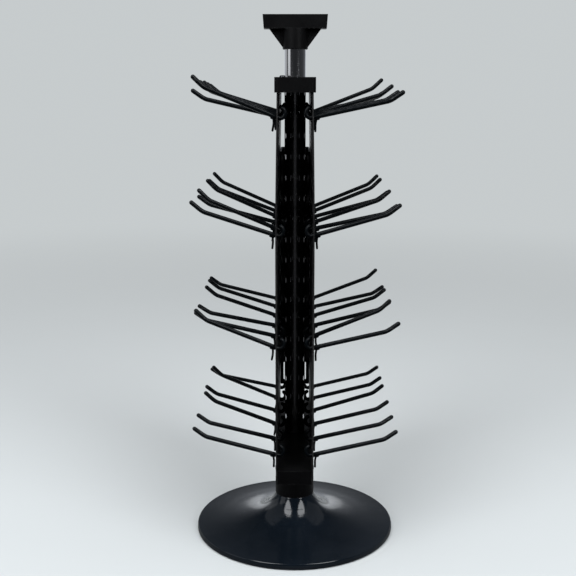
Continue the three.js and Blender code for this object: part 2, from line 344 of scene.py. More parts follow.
def black_zinc():
    """Black zinc on steel, for the screw and the rivets, rubbed bright on its edges."""
    n = Surface("black_zinc", Metallic=0.85)
    worn = n.times(n.edges(0.0004), n.ramp(n.noise(700, 5, 0.7), 0.4, 0.6))
    tone = n.mix(n.noise(500, 4), (0.020, 0.021, 0.024), (0.045, 0.046, 0.050))
    colour = n.mix(n.times(worn, 0.7), tone, (0.35, 0.35, 0.36))
    n.bump((n.noise(3000, 2), 0.00002))
    return n.finish(colour, n.ramp(n.noise(300, 3), 0.3, 0.7, 0.28, 0.42))


def cast_iron():
    """Sand-cast iron with a dark skin and rust blooms."""
    n = Surface("cast_iron")
    rust = n.ramp(n.noise(55, 7, 0.7), 0.56, 0.72)
    tone = n.mix(n.noise(300, 5), (0.020, 0.020, 0.021), (0.055, 0.054, 0.053))
    colour = n.mix(n.times(rust, 0.7), tone, (0.14, 0.055, 0.022))
    metallic = n.ramp(rust, 0.0, 0.6, 0.75, 0.1)
    n.bump((n.noise(650, 6, 0.7), 0.0003), (n.noise(90, 3), 0.0003))
    return n.finish(colour, n.ramp(rust, 0.0, 1.0, 0.58, 0.9), metallic)


def nylon():
    """Natural nylon, slightly waxy, with grey running marks."""
    n = Surface("nylon", Subsurface_Weight=0.15, Subsurface_Scale=0.002, IOR=1.53)
    grime = n.ramp(n.noise(260, 6, 0.7), 0.5, 0.75)
    tone = n.mix(n.noise(40, 3), (0.62, 0.59, 0.50), (0.70, 0.68, 0.60))
    colour = n.mix(n.times(grime, 0.6), tone, (0.12, 0.11, 0.10))
    n.bump((n.noise(1500, 3), 0.00003))
    return n.finish(colour, n.ramp(grime, 0.0, 1.0, 0.42, 0.6))


def felt():
    """Needled felt: matted fibres, lint and a fuzzy sheen."""
    n = Surface("base_felt", Roughness=0.95, Sheen_Weight=0.4, Sheen_Roughness=0.5)
    fibres = n.noise(1900, 5, 0.7, stretch=(1.0, 0.35, 1.0))
    crossing = n.noise(1900, 5, 0.7, stretch=(0.35, 1.0, 1.0))
    mat = n.math("MAXIMUM", fibres, crossing)
    lint = n.ramp(n.noise(1200, 3, 0.6, stretch=(1.0, 0.2, 1.0)), 0.68, 0.75)
    tone = n.mix(mat, (0.004, 0.004, 0.005), (0.034, 0.034, 0.037))
    colour = n.mix(n.times(lint, 0.5), tone, (0.20, 0.19, 0.18))
    n.bump((mat, 0.0005), (n.noise(90, 3), 0.0004))
    return n.finish(colour)


BASE_PLASTIC = base_plastic()
BLACK_PLASTIC = black_plastic()
PANEL_PAINT = panel_paint()
HOOK_COATING = hook_coating()
CHROME = chrome()
BLACK_ZINC = black_zinc()
CAST_IRON = cast_iron()
NYLON = nylon()
FELT = felt()


# ---- mesh helpers ----
def to_object(name, verts, faces):
    mesh = bpy.data.meshes.new(name)
    mesh.from_pydata([tuple(v) for v in verts], [], faces)
    mesh.validate()
    obj = bpy.data.objects.new(name, mesh)
    bpy.context.scene.collection.objects.link(obj)
    return obj


def tidy(obj, sharp=35.0):
    """Outward faces, smooth shading, and sharp edges where faces meet steeply."""
    work = bmesh.new()
    work.from_mesh(obj.data)
    bmesh.ops.recalc_face_normals(work, faces=work.faces)
    work.to_mesh(obj.data)
    work.free()
    obj.data.polygons.foreach_set("use_smooth", [True] * len(obj.data.polygons))
    obj.data.set_sharp_from_angle(angle=math.radians(sharp))
    obj.data.update()
    return obj


def apply_modifiers(obj):
    bpy.context.view_layer.update()
    graph = bpy.context.evaluated_depsgraph_get()
    mesh = bpy.data.meshes.new_from_object(obj.evaluated_get(graph))
    obj.modifiers.clear()
    obj.data = mesh


def combine(obj, others, operation):
    """Joins the others to the object or cuts them from it, and deletes them."""
    for other in others:
        modifier = obj.modifiers.new(operation, "BOOLEAN")
        modifier.operation = operation
        modifier.solver = "EXACT"
        modifier.object = other
    apply_modifiers(obj)
    for other in others:
        bpy.data.objects.remove(other)


def ease_edges(obj, width, segments, angle):
    """Bevels the edges whose faces meet at more than the angle, in degrees."""
    modifier = obj.modifiers.new("bevel", "BEVEL")
    modifier.width = width
    modifier.segments = segments
    modifier.limit_method = "ANGLE"
    modifier.angle_limit = math.radians(angle)
    modifier.miter_outer = "MITER_ARC"
    modifier.use_clamp_overlap = True
    apply_modifiers(obj)


def bridge(a, b, count):
    """Faces between two rings of vertex numbers. A ring may be a single vertex."""
    faces = []
    for k in range(count):
        after = (k + 1) % count
        if len(a) == 1:
            faces.append((a[0], b[after], b[k]))
        elif len(b) == 1:
            faces.append((a[k], a[after], b[0]))
        else:
            faces.append((a[k], a[after], b[after], b[k]))
    return faces


def turned(name, profile, segments):
    """A [radius, height] profile turned about the Z axis. It starts and ends on the axis, or it is
    closed from its last point to its first."""
    verts = []
    rings = []
    for radius, height in profile:
        if radius == 0:
            verts.append((0, 0, height))
            rings.append([len(verts) - 1])
            continue
        rings.append(list(range(len(verts), len(verts) + segments)))
        for k in range(segments):
            turn = 2 * math.pi * k / segments
            verts.append((radius * math.cos(turn), radius * math.sin(turn), height))
    pairs = list(zip(rings, rings[1:]))
    if profile[-1][0] > 0:
        pairs.append((rings[-1], rings[0]))
    return to_object(name, verts, [face for a, b in pairs for face in bridge(a, b, segments)])


def cut_corner(before, corner, after, reach, share, steps):
    """Points along a curve across a corner. It starts and ends at the reach from the corner, or at a
    share of the side where that is less."""
    back = before - corner
    on = after - corner
    start = corner + back.normalized() * min(reach, back.length * share)
    end = corner + on.normalized() * min(reach, on.length * share)
    points = []
    for k in range(steps + 1):
        t = k / steps
        points.append(start * (1 - t) ** 2 + corner * 2 * t * (1 - t) + end * t ** 2)
    return points


def rounded(points, reach, steps=4):
    """Rounds each inner corner of a polyline."""
    points = [Vector(p) for p in points]
    path = [points[0]]
    for before, corner, after in zip(points, points[1:], points[2:]):
        path += cut_corner(before, corner, after, reach, 0.48, steps)
    path.append(points[-1])
    return path


def soft_profile(points, reach, steps=3):
    """Rounds every corner of a closed flat outline."""
    flat = [Vector((a, b, 0)) for a, b in points]
    curve = []
    for i, corner in enumerate(flat):
        curve += cut_corner(flat[i - 1], corner, flat[(i + 1) % len(flat)], reach, 0.45, steps)
    return [(spot.x, spot.y) for spot in curve]


def sweep(path, radius, sides, cap_rings=4):
    """Verts and faces of a round wire along a path that lies in the XZ plane, with domed ends."""
    path = [Vector(p) for p in path]
    last = len(path) - 1
    turns = [math.pi / 2 * k / cap_rings for k in range(cap_rings)]
    stations = [(0, -radius * math.cos(a), radius * math.sin(a)) for a in turns]
    stations += [(i, 0.0, radius) for i in range(len(path))]
    stations += [(last, radius * math.cos(a), radius * math.sin(a)) for a in reversed(turns)]
    verts = []
    rings = []
    side = Vector((0, 1, 0))
    for i, ahead, size in stations:
        if i == 0:
            forward = (path[1] - path[0]).normalized()
        elif i == last:
            forward = (path[-1] - path[-2]).normalized()
        else:
            forward = (path[i + 1] - path[i - 1]).normalized()
        centre = path[i] + forward * ahead
        up = side.cross(forward)
        if size == 0:
            verts.append(centre)
            rings.append([len(verts) - 1])
            continue
        rings.append(list(range(len(verts), len(verts) + sides)))
        for k in range(sides):
            turn = 2 * math.pi * k / sides
            verts.append(centre + (side * math.cos(turn) + up * math.sin(turn)) * size)
    return verts, [face for a, b in zip(rings, rings[1:]) for face in bridge(a, b, sides)]


def prism(name, outline, axis, start, end):
    """An outline extruded along an axis. The outline's two numbers are the other two axes, in
    the order x, y, z."""
    def spot(a, b, c):
        return {"x": (c, a, b), "y": (a, c, b), "z": (a, b, c)}[axis]

    count = len(outline)
    verts = [spot(a, b, start) for a, b in outline] + [spot(a, b, end) for a, b in outline]
    faces = [tuple(range(count)), tuple(range(2 * count - 1, count - 1, -1))]
    faces += [(i, i + count, (i + 1) % count + count, (i + 1) % count) for i in range(count)]
    return tidy(to_object(name, verts, faces))


def block(name, corner, opposite):
    (x0, y0, z0), (x1, y1, z1) = corner, opposite
    return prism(name, [(x0, y0), (x1, y0), (x1, y1), (x0, y1)], "z", z0, z1)


def rod(name, radius, bottom, top):
    """A plain cylinder on the Z axis, to cut a bore with."""
    outline = [(0, bottom), (radius, bottom), (radius, top), (0, top)]
    return tidy(turned(name, outline, segments=96))


def dress(obj, sharp, material, body, slot, *nodes):
    """Gives a piece its material and its body, and hides the CAD nodes that it stands for; its slot is not
    used.
    Its normals are weighted by face area first, so that a flat face shades flat right up to a rounded edge."""
    tidy(obj, sharp)
    normals = obj.modifiers.new("normals", "WEIGHTED_NORMAL")
    normals.weight = 100
    normals.keep_sharp = True
    apply_modifiers(obj)
    obj.data.materials.clear()
    obj.data.materials.append(material)
    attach(obj, body)
    if nodes:
        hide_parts(*nodes)


# ---- base ----
NECK_RADIUS = 24.5 * MM
COLLAR_BOTTOM = 46.0 * MM
POLE_WALL = 1.2 * MM

# The flare's radius and height in mm, from the rim in to the neck.
FLARE = [(122.6, 8.2), (112, 8.75), (100, 9.6), (90, 10.7), (80, 12.0), (70, 13.8), (61, 15.9), (53, 18.3),
         (46.3, 21.1), (40.6, 24.5), (35.8, 28.4), (31.8, 32.8), (28.6, 37.4), (26.2, 42.0), (24.4, 46.5)]


def neck_collar():
    """The satin sleeve over the shell's spigot, closed on top around the pole."""
    hole = POLE_RADIUS + GAP
    inner = 22 * MM
    lid = 5 * MM
    profile = soft_profile([(inner, COLLAR_BOTTOM), (NECK_RADIUS, COLLAR_BOTTOM), (NECK_RADIUS, NECK_TOP),
                            (hole, NECK_TOP), (hole, NECK_TOP - lid), (inner, NECK_TOP - lid)], 0.5 * MM)
    obj = turned("neck_collar", profile, segments=128)
    dress(obj, 50, BLACK_PLASTIC, "base", "black_plastic")


neck_collar()


def smooth_curve(points):
    """A Catmull-Rom curve through the points, in four steps from each to the next."""
    steps = 4
    ends = [points[0]] + list(points) + [points[-1]]
    curve = []
    for a, b, c, d in zip(ends, ends[1:], ends[2:], ends[3:]):
        for k in range(steps):
            t = k / steps
            curve.append(tuple(
                0.5 * (2 * q + (r - p) * t + (2 * p - 5 * q + 4 * r - s) * t * t
                       + (3 * q - p - 3 * r + s) * t ** 3)
                for p, q, r, s in zip(a, b, c, d)))
    curve.append(points[-1])
    return curve


def base_shell_skin():
    """The glossy shell: a rounded rim, a disc and a flare, with a spigot inside the collar."""
    rim = BASE_RADIUS
    rim_wall = 5 * MM
    shoulder_start = 5.2 * MM
    shoulder_steps = 6
    flare_wall = 3 * MM
    spigot = 21.6 * MM
    spigot_bore = spigot - 2 * MM
    spigot_top = 60 * MM
    lip_top = 46.6 * MM
    flare = [(r * MM, z * MM) for r, z in smooth_curve(FLARE)]
    shoulder = []
    for k in range(shoulder_steps + 1):
        turn = math.pi / 2 * k / shoulder_steps
        shoulder.append((rim - 1.2 * MM * (1 - math.cos(turn)), shoulder_start + 3.0 * MM * math.sin(turn)))
    foot = [(rim - 1.0 * MM, SHELL_BOTTOM), (rim - 0.3 * MM, SHELL_BOTTOM + 0.3 * MM),
            (rim, SHELL_BOTTOM + 1.0 * MM)]
    neck = [(24.2 * MM, lip_top), (spigot, lip_top), (spigot, spigot_top), (spigot_bore, spigot_top)]
    under_flare = [(r * MM - flare_wall * 0.55, z * MM - flare_wall) for r, z in reversed(FLARE[2:-2:2])]
    under_rim = [(rim - rim_wall, shoulder_start), (rim - rim_wall, SHELL_BOTTOM + 0.4 * MM),
                 (rim - 4.6 * MM, SHELL_BOTTOM)]
    under = [(spigot_bore, COLLAR_BOTTOM)] + under_flare + under_rim
    obj = turned("base_shell_skin", foot + shoulder + flare[1:] + neck + under, segments=192)
    dress(obj, 50, BASE_PLASTIC, "base", "base_plastic", "base_shell")


base_shell_skin()


def base_pad_felt():
    r = PAD_RADIUS
    t = PAD_TOP
    profile = [(0, 0), (r * 0.5, 0), (r - 1.2 * MM, 0), (r - 0.35 * MM, 0.3 * MM), (r, 1.1 * MM),
               (r, t - 1.1 * MM), (r - 0.35 * MM, t - 0.3 * MM), (r - 1.2 * MM, t), (r * 0.5, t), (0, t)]
    obj = turned("base_pad_felt", profile, segments=160)
    dress(obj, 60, FELT, "base", "base_felt", "base_pad")


base_pad_felt()


def base_weight_casting():
    """A cast plate with draft on its edge, a machined spigot, and a ring of lightening dimples."""
    node = "base_weight"
    bottom, top, radius = low(node, "z"), high(node, "z"), high(node, "x")
    spigot = POLE_RADIUS - POLE_WALL - GAP
    dimple_circle = 66 * MM
    dimple_count = 8
    profile = [(0, bottom), (radius - 1.5 * MM, bottom), (radius - 0.4 * MM, bottom + 0.5 * MM),
               (radius, bottom + 1.4 * MM), (radius - 0.5 * MM, 6.6 * MM), (radius - 1.6 * MM, 7.5 * MM),
               (64 * MM, 7.95 * MM), (50 * MM, 8.5 * MM), (46 * MM, 9.2 * MM), (40 * MM, 11.8 * MM),
               (36.5 * MM, 13.5 * MM), (34.5 * MM, 14 * MM), (spigot + 1.2 * MM, 14 * MM),
               (spigot, 14.8 * MM), (spigot, top - 1.2 * MM), (spigot - 1.2 * MM, top), (0, top)]
    obj = turned("base_weight_casting", profile, segments=96)
    dimples = []
    for k in range(dimple_count):
        turn = 2 * math.pi * k / dimple_count
        dimple = turned(f"dimple{k}", [(0, 6.4 * MM), (6 * MM, 6.4 * MM), (7 * MM, 10 * MM), (0, 10 * MM)],
                        segments=24)
        centre = (dimple_circle * math.cos(turn), dimple_circle * math.sin(turn), 0)
        dimple.data.transform(Matrix.Translation(centre))
        dimples.append(tidy(dimple))
    combine(tidy(obj), dimples, "DIFFERENCE")
    dress(obj, 40, CAST_IRON, "base", "cast_iron", node)


base_weight_casting()


def pole_tube():
    inner = POLE_RADIUS - POLE_WALL
    profile = soft_profile([(inner, POLE_BOTTOM), (POLE_RADIUS, POLE_BOTTOM), (POLE_RADIUS, POLE_TOP),
                            (inner, POLE_TOP)], 0.4 * MM)
    obj = turned("pole_tube", profile, segments=96)
    dress(obj, 50, CHROME, "base", "chrome", "pole")


pole_tube()


def nylon_ring(name, node, outline, body):
    """A turned nylon piece with every corner eased."""
    obj = turned(name, soft_profile(outline, 0.35 * MM), segments=96)
    dress(obj, 50, NYLON, body, "nylon", node)


def thrust_washer_ring():
    node = "thrust_washer"
    bottom, top, outer = low(node, "z"), high(node, "z"), high(node, "x")
    outline = [(BORE_RADIUS, bottom), (outer, bottom), (outer, top), (BORE_RADIUS, top)]
    nylon_ring("thrust_washer_ring", node, outline, "base")


thrust_washer_ring()


def top_bushing_sleeve():
    """A flanged sleeve: the flange lies under the cap's lid, and the sleeve stands up through it."""
    node = "top_bushing"
    bottom, top, flange = low(node, "z"), high(node, "z"), high(node, "x")
    sleeve = 14.8 * MM
    seat = CAP_TOP - CAP_LID - GAP
    flange_bottom = seat - 2 * MM
    outline = [(BORE_RADIUS, bottom), (sleeve, bottom), (sleeve, flange_bottom), (flange, flange_bottom),
               (flange, seat), (sleeve, seat), (sleeve, top), (BORE_RADIUS, top)]
    nylon_ring("top_bushing_sleeve", node, outline, "rack")


top_bushing_sleeve()


# ---- carousel ----
def bottom_carrier_moulding():
    """The rail between the panels' lower edges, ribbed underneath, with the hub below it."""
    half = PANEL_FACE - PANEL_THICKNESS - GAP
    length = RAIL_HALF_LENGTH
    wall = 2.2 * MM
    lid = 2.5 * MM
    rib_bottom = PANEL_BOTTOM + 3 * MM
    rib_top = RAIL_TOP - lid / 2
    step = PANEL_BOTTOM - GAP
    rail = block("bottom_carrier_moulding", (-half, -length, PANEL_BOTTOM + GAP), (half, length, RAIL_TOP))
    hollow = block("hollow", (wall - half, wall - length, PANEL_BOTTOM - 1 * MM),
                   (half - wall, length - wall, RAIL_TOP - lid))
    combine(rail, [hollow], "DIFFERENCE")
    added = []
    for place in (-108, -80, -52, 52, 80, 108):
        added.append(block("rib", (-half + wall / 2, (place - 0.8) * MM, rib_bottom),
                           (half - wall / 2, (place + 0.8) * MM, rib_top)))
    for end in (-1, 1):
        near, far = sorted((end * (length - wall / 2), end * 20 * MM))
        added.append(block("spine", (-0.8 * MM, near, rib_bottom), (0.8 * MM, far, rib_top)))
    drum = turned("drum", [(0, HUB_BOTTOM), (HUB_RADIUS - 0.8 * MM, HUB_BOTTOM),
                           (HUB_RADIUS - 0.2 * MM, HUB_BOTTOM + 0.3 * MM),
                           (HUB_RADIUS, HUB_BOTTOM + 1.0 * MM), (HUB_RADIUS, 96 * MM),
                           (HUB_RADIUS - 0.5 * MM, 96.8 * MM),
                           (HUB_RADIUS - 0.5 * MM, step), (half - 1 * MM, step),
                           (half - 1 * MM, RAIL_TOP - 1 * MM), (0, RAIL_TOP - 1 * MM)],
                  segments=96)
    combine(rail, added + [tidy(drum)], "UNION")
    combine(rail, [rod("bore", BORE_RADIUS, HUB_BOTTOM - 5 * MM, RAIL_TOP + 5 * MM)], "DIFFERENCE")
    ease_edges(rail, 0.35 * MM, 2, 40)
    dress(rail, 40, BLACK_PLASTIC, "rack", "black_plastic", "bottom_carrier")


bottom_carrier_moulding()


HOLE_CORNERS = 16
HOLE_TURNS = [2 * math.pi * (k + 0.5) / HOLE_CORNERS for k in range(HOLE_CORNERS)]
PANEL_EDGE = 0.3 * MM              # chamfer around a panel's face


def on_rectangle(y, z, span_y, span_z):
    """Where rays from a hole's centre meet the rectangle around it. Rays near a corner end in it."""
    points = []
    for turn in HOLE_TURNS:
        dy, dz = math.cos(turn), math.sin(turn)
        longest = max(abs(dy), abs(dz))
        dy, dz = dy / longest, dz / longest
        if min(abs(dy), abs(dz)) > 0.6:
            dy, dz = math.copysign(1, dy), math.copysign(1, dz)
        points.append((y + (dy * (span_y[1] - y) if dy > 0 else -dy * (span_y[0] - y)),
                       z + (dz * (span_z[1] - z) if dz > 0 else -dz * (span_z[0] - z))))
    return points


def close_panel(work, sign):
    """Turns the front sheet's border over a small chamfer and joins it to the back sheet's."""
    def near(a, b):
        return abs(a - b) < 1e-6

    border = [e for e in work.edges if e.is_boundary]
    front_loop = [e for e in border if all(near(abs(v.co.x), face_at(v.co.z)) for v in e.verts)]
    made = bmesh.ops.extrude_edge_only(work, edges=front_loop)
    for v in (item for item in made["geom"] if isinstance(item, bmesh.types.BMVert)):
        v.co.x -= sign * PANEL_EDGE
        if near(abs(v.co.y), PANEL_HALF_DEPTH - PANEL_EDGE):
            v.co.y += math.copysign(PANEL_EDGE, v.co.y)
        if near(v.co.z, PANEL_BOTTOM + PANEL_EDGE):
            v.co.z -= PANEL_EDGE
        elif near(v.co.z, PANEL_TOP - PANEL_EDGE):
            v.co.z += PANEL_EDGE
    bmesh.ops.bridge_loops(work, edges=[e for e in work.edges if e.is_boundary])


def panel_sheet(side, sign):
    """A perforated steel sheet: every hole of the 1 inch grid, rolled in a little at its face. The
    hole_edge attribute is 1 in a hole's throat and fades out across the sheet around it."""
    roll = 0.3 * MM
    collar = 1.4 * MM
    rows = [LOWEST_HOLE + i * PITCH for i in range(HOLE_ROWS)]
    columns = [(i - (HOLE_COLUMNS - 1) / 2) * PITCH for i in range(HOLE_COLUMNS)]
    y_lines = [PANEL_EDGE - PANEL_HALF_DEPTH] + [c + PITCH / 2 for c in columns[:-1]]
    y_lines.append(PANEL_HALF_DEPTH - PANEL_EDGE)
    z_lines = [PANEL_BOTTOM + PANEL_EDGE] + [r + PITCH / 2 for r in rows[:-1]] + [PANEL_TOP - PANEL_EDGE]
    verts = []
    faces = []
    hole_edge = []
    shared = {}

    def vertex(depth, y, z, value=0.0):
        key = (round(depth * 1e7), round(y * 1e7), round(z * 1e7))
        if key not in shared:
            shared[key] = len(verts)
            verts.append((sign * (face_at(z) - depth), y, z))
            hole_edge.append(value)
        return shared[key]

    def ring(depth, y, z, radius, value):
        return [vertex(depth, y + radius * math.cos(t), z + radius * math.sin(t), value) for t in HOLE_TURNS]

    def cell(y, z, span_y, span_z, front):
        """The sheet about one hole, on the panel's front or back."""
        depth = 0.0 if front else PANEL_THICKNESS
        outer = [vertex(depth, a, b) for a, b in on_rectangle(y, z, span_y, span_z)]
        inner = ring(depth, y, z, HOLE_RADIUS + collar, 0.0)
        lip = ring(depth, y, z, HOLE_RADIUS + (roll if front else 0), 0.6 if front else 0.4)
        for quad in bridge(outer, inner, HOLE_CORNERS) + bridge(inner, lip, HOLE_CORNERS):
            face = [v for i, v in enumerate(quad) if v != quad[i - 1]]
            if len(face) > 2:
                faces.append(tuple(face if front else face[::-1]))
        return lip

    for z, *span_z in zip(rows, z_lines, z_lines[1:]):
        for y, *span_y in zip(columns, y_lines, y_lines[1:]):
            front = cell(y, z, span_y, span_z, True)
            back = cell(y, z, span_y, span_z, False)
            throat = ring(roll, y, z, HOLE_RADIUS, 1.0)
            faces.extend(bridge(front, throat, HOLE_CORNERS) + bridge(throat, back, HOLE_CORNERS))
    obj = to_object(f"panel_{side}_sheet", verts, faces)
    obj.data.attributes.new("hole_edge", "FLOAT", "POINT").data.foreach_set("value", hole_edge)
    work = bmesh.new()
    work.from_mesh(obj.data)
    close_panel(work, sign)
    work.to_mesh(obj.data)
    work.free()
    dress(obj, 50, PANEL_PAINT, "rack", "panel_paint", f"panel_{side}")


SIDES = {"left": -1, "right": 1}
for side_name, side_sign in SIDES.items():
    panel_sheet(side_name, side_sign)


# ---- hooks ----
def polar(distance, angle):
    """A point in the XZ plane at a distance from the origin and an angle above +X."""
    return Vector((distance * math.cos(angle), 0, distance * math.sin(angle)))


def hook_seat(node, tier, sign):
    """The hole's centre that a CAD hook sits in, and its arm's angle above level."""
    z = TIER_BOTTOM + (tier - 1) * TIER_PITCH
    y = (low(node, "y") + high(node, "y")) / 2
    root = Vector((sign * (face_at(z) - PANEL_THICKNESS / 2), y, z))
    corners = {tuple(round(c, 6) for c in v.co) for v in frame["nodes"][node].data.vertices}
    far = max(corners, key=lambda c: (Vector(c) - root).length)
    end = [Vector(c) for c in corners if (Vector(c) - Vector(far)).length < 3 * WIRE_RADIUS]
    tip = sum(end, Vector()) / len(end) - root
    reach = ARM_LENGTH * math.cos(SEATED_LIFT) + TIP_LENGTH * math.cos(SEATED_LIFT + TIP_KINK)
    rise = ARM_LENGTH * math.sin(SEATED_LIFT) + TIP_LENGTH * math.sin(SEATED_LIFT + TIP_KINK)
    return root, SEATED_LIFT + math.atan2(tip.z, abs(tip.x)) - math.atan2(rise, reach)


def hook_wires():
    """The arm, tail and bead of a hook that is seated at the origin and points to +X."""
    bend = polar(ARM_LENGTH, SEATED_LIFT)
    tip = bend + polar(TIP_LENGTH - WIRE_RADIUS, SEATED_LIFT + TIP_KINK)
    back = polar(-3.4 * MM, SEATED_LIFT)
    prong = [Vector((x * MM, 0, z * MM)) for x, z in ((-4.3, 10.2), (-6.5, 8.8), (-7.9, 5.2), (-6.6, 1.4))]
    arm = [polar(ARM_LENGTH * k / 12, SEATED_LIFT) for k in range(1, 12)]
    path = rounded(prong + [back], 4 * MM) + arm + rounded([arm[-1], bend, tip], 5 * MM)[1:]
    tail_x = PANEL_THICKNESS / 2 + TAIL_RADIUS + 0.65 * MM
    tail = rounded([(tail_x + 1.5 * MM, 0, 0.6 * MM), (tail_x + 0.7 * MM, 0, -3.4 * MM),
                    (tail_x, 0, -7 * MM), (tail_x + 0.15 * MM, 0, -14.4 * MM)], 3 * MM)
    weld = [(tail_x - 0.3 * MM, 0, -1.5 * MM), (tail_x + 3.2 * MM, 0, -1.1 * MM)]
    return sweep(path, WIRE_RADIUS, 16), sweep(tail, TAIL_RADIUS, 12, 3), sweep(weld, 1.6 * MM, 12, 3)


def hook_wire(node, tier, sign):
    """One hook, with how much frames rub each point of its arm in the rubbed attribute."""
    root, lift = hook_seat(node, tier, sign)
    wire, tail, bead = hook_wires()
    obj = to_object(f"{node}_wire", *wire)
    combine(tidy(obj), [tidy(to_object("tail", *tail)), tidy(to_object("bead", *bead))], "UNION")
    along = polar(1, SEATED_LIFT)
    across = polar(1, SEATED_LIFT + math.pi / 2)
    rubbed = []
    for v in obj.data.vertices:
        on_arm = 8 * MM < v.co.dot(along) < ARM_LENGTH + 20 * MM
        rubbed.append(max(0.0, v.co.dot(across) / WIRE_RADIUS) if on_arm else 0.0)
    obj.data.attributes.new("rubbed", "FLOAT", "POINT").data.foreach_set("value", rubbed)
    obj.data.transform(Matrix.Rotation(SEATED_LIFT - lift, 4, "Y"))
    if sign < 0:
        obj.data.transform(Matrix.Rotation(math.pi, 4, "Z"))
    obj.data.transform(Matrix.Translation(root))
    dress(obj, 60, HOOK_COATING, "rack", "hook_coating", node)


for side_name, side_sign in SIDES.items():
    for tier_number in range(1, 5):
        for place in range(1, 7):
            hook_wire(f"hook_tier{tier_number}_{side_name}_{place}", tier_number, side_sign)


def rear_channel_sheet():
    """A lipped channel folded from sheet, with round bends, slotted where hook prongs stand."""
    node = "rear_channel"
    half = high(node, "x")
    front, back = low(node, "y"), high(node, "y")
    bottom, top = low(node, "z"), high(node, "z")
    lip = 4.2 * MM
    centre = 1.2 * MM / 2          # half the sheet's thickness
    spine = rounded([(lip - half, 0, front + centre), (centre - half, 0, front + centre),
                     (centre - half, 0, back - centre), (half - centre, 0, back - centre),
                     (half - centre, 0, front + centre), (half - lip, 0, front + centre)], 2 * MM, 5)
    flat = [Vector((p.x, p.z)) for p in spine]
    left = []
    right = []
    for i, spot in enumerate(flat):
        ahead = (flat[min(i + 1, len(flat) - 1)] - flat[max(i - 1, 0)]).normalized()
        across = Vector((-ahead.y, ahead.x)) * centre
        left.append(tuple(spot + across))
        right.append(tuple(spot - across))
    obj = prism("rear_channel_sheet", left + right[::-1], "z", bottom, top)
    slots = []
    for tier in range(4):
        z = TIER_BOTTOM + tier * TIER_PITCH
        if bottom < z < top:
            for y in (3 * PITCH, 5 * PITCH):
                slots.append(block("slot", (-half - 5 * MM, y - 4.5 * MM, z - 8 * MM),
                                   (half + 5 * MM, y + 4.5 * MM, z + 16 * MM)))
    combine(obj, slots, "DIFFERENCE")
    ease_edges(obj, 0.2 * MM, 1, 50)
    dress(obj, 40, PANEL_PAINT, "rack", "panel_paint", node)


rear_channel_sheet()


def tray_outline(half_x, half_y, corner, reach):
    """A rectangle with chamfered corners, each corner eased."""
    points = [(half_x, -half_y + corner), (half_x, half_y - corner), (half_x - corner, half_y),
              (corner - half_x, half_y), (-half_x, half_y - corner), (-half_x, corner - half_y),
              (corner - half_x, -half_y), (half_x - corner, -half_y)]
    return soft_profile(points, reach, 2)


def top_cap_moulding():
    """A hollow cap with chamfered corners and a hole for the bushing."""
    skirt = 2.1 * MM
    outside = tray_outline(CAP_HALF_WIDTH, CAP_HALF_LENGTH, 3 * MM, 0.8 * MM)
    inside = tray_outline(CAP_HALF_WIDTH - skirt, CAP_HALF_LENGTH - skirt, 1 * MM, 0.3 * MM)
    cap = prism("top_cap_moulding", outside, "z", CAP_BOTTOM, CAP_TOP)
    hollow = prism("hollow", inside, "z", CAP_BOTTOM - 2 * MM, CAP_TOP - CAP_LID)
    combine(cap, [hollow, rod("hole", 15.2 * MM, CAP_BOTTOM, CAP_TOP + 5 * MM)], "DIFFERENCE")
    ease_edges(cap, 0.6 * MM, 3, 50)
    dress(cap, 40, BLACK_PLASTIC, "rack", "black_plastic", "top_cap")


top_cap_moulding()


# ---- fasteners ----
def cap_screw():
    """A pan head with a cross recess, turned a little, its seat sunk into the cap."""
    radius = 3.8 * MM
    height = 3.6 * MM
    arm = radius * 0.62
    thin = radius * 0.13
    above = height * 1.2
    recess = height - height * 0.45
    profile = [(0, -0.2 * MM), (radius, -0.2 * MM), (radius, height * 0.35), (radius * 0.97, height * 0.55),
               (radius * 0.86, height * 0.82), (arm, height * 0.96), (0, height)]
    head = tidy(turned("cap_screw", profile, segments=48))
    wings = []
    for turn in (0.0, math.pi / 2):
        wing = prism("wing", [(-arm, above), (-arm * 0.45, recess), (arm * 0.45, recess), (arm, above)],
                     "y", -thin, thin)
        wing.data.transform(Matrix.Rotation(turn, 4, "Z"))
        wings.append(wing)
    combine(head, wings, "DIFFERENCE")
    head.data.transform(Matrix.Rotation(math.radians(20), 4, "Z"))
    head.data.transform(Matrix.Translation((-14.8 * MM, -14 * MM, CAP_TOP)))
    dress(head, 30, BLACK_ZINC, "rack", "hook_coating")


cap_screw()

# A low dome with a dimple in its middle.
RIVET = [(0, 0), (3.9 * MM, 0), (3.85 * MM, 0.25 * MM), (3.3 * MM, 0.7 * MM), (2.2 * MM, 1.0 * MM),
         (1.3 * MM, 1.1 * MM), (1.1 * MM, 0.8 * MM), (0, 0.75 * MM)]


def rivets(name, places):
    """Rivets in peg holes, through the panels into what stands between them."""
    for side, sign in SIDES.items():
        for i, (y, z) in enumerate(places):
            dome = turned(f"{name}_{side}_{i + 1}", RIVET, segments=32)
            dome.data.transform(Matrix.Rotation(sign * math.pi / 2, 4, "Y"))
            dome.data.transform(Matrix.Translation((sign * (face_at(z) + 0.02 * MM), y, z)))
            dress(dome, 30, BLACK_ZINC, "rack", "hook_coating")


rivets("rail_rivet", [(c * PITCH, LOWEST_HOLE) for c in (-4, -2, 2, 4)])
rivets("channel_rivet", [(4 * PITCH, LOWEST_HOLE + r * PITCH) for r in (3, 8, 13)])


